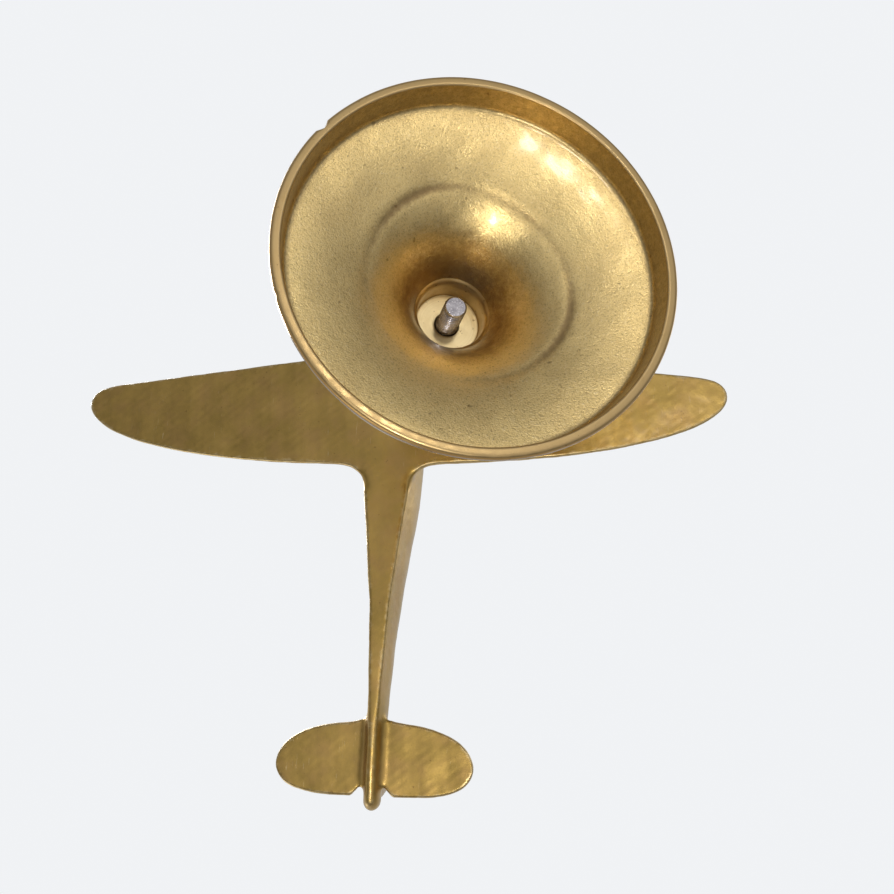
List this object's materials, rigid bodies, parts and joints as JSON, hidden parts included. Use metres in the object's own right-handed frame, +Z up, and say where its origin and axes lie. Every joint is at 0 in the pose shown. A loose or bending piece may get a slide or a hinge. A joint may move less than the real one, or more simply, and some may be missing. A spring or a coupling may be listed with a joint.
{
  "type": "aeroplane desk ornament on bell stand",
  "caption": "Cast-brass propeller aeroplane banked on a slim pillar over a hollow bell-shaped foot, with a turning propeller on its nose.",
  "frame": {"origin": "middle of the whole object's outline, on the plane that the bell's foot rests on", "axes": "+Z up along the stand's axis, -Y towards the aeroplane's nose, +X to the lowered port side"},
  "size_m": [0.2079, 0.193, 0.1596],
  "materials": {
    "cast_brass": "sand-cast, sparkling grain inside, polished outside",
    "aged_brass": "cast, rubbed and darkened with age",
    "turned_brass": "turned, fine tool rings, lightly tarnished",
    "stud_steel": "plain turned steel"
  },
  "bodies": {
    "ornament": {"bell_base": "cast_brass", "stand_stud": "stud_steel", "pillar": "turned_brass", "pillar_stud": "stud_steel", "airframe": "aged_brass", "propeller_shaft": "stud_steel", "thrust_washer": "turned_brass"},
    "propeller_set": {"propeller": "aged_brass", "spinner": "turned_brass"}
  },
  "joints": [
    {"name": "propeller_spin", "type": "hinge", "parent": "ornament", "child": "propeller_set", "pos_m": [0.002, -0.084, 0.1256], "axis": [0, -1, 0], "continuous": true}
  ]
}
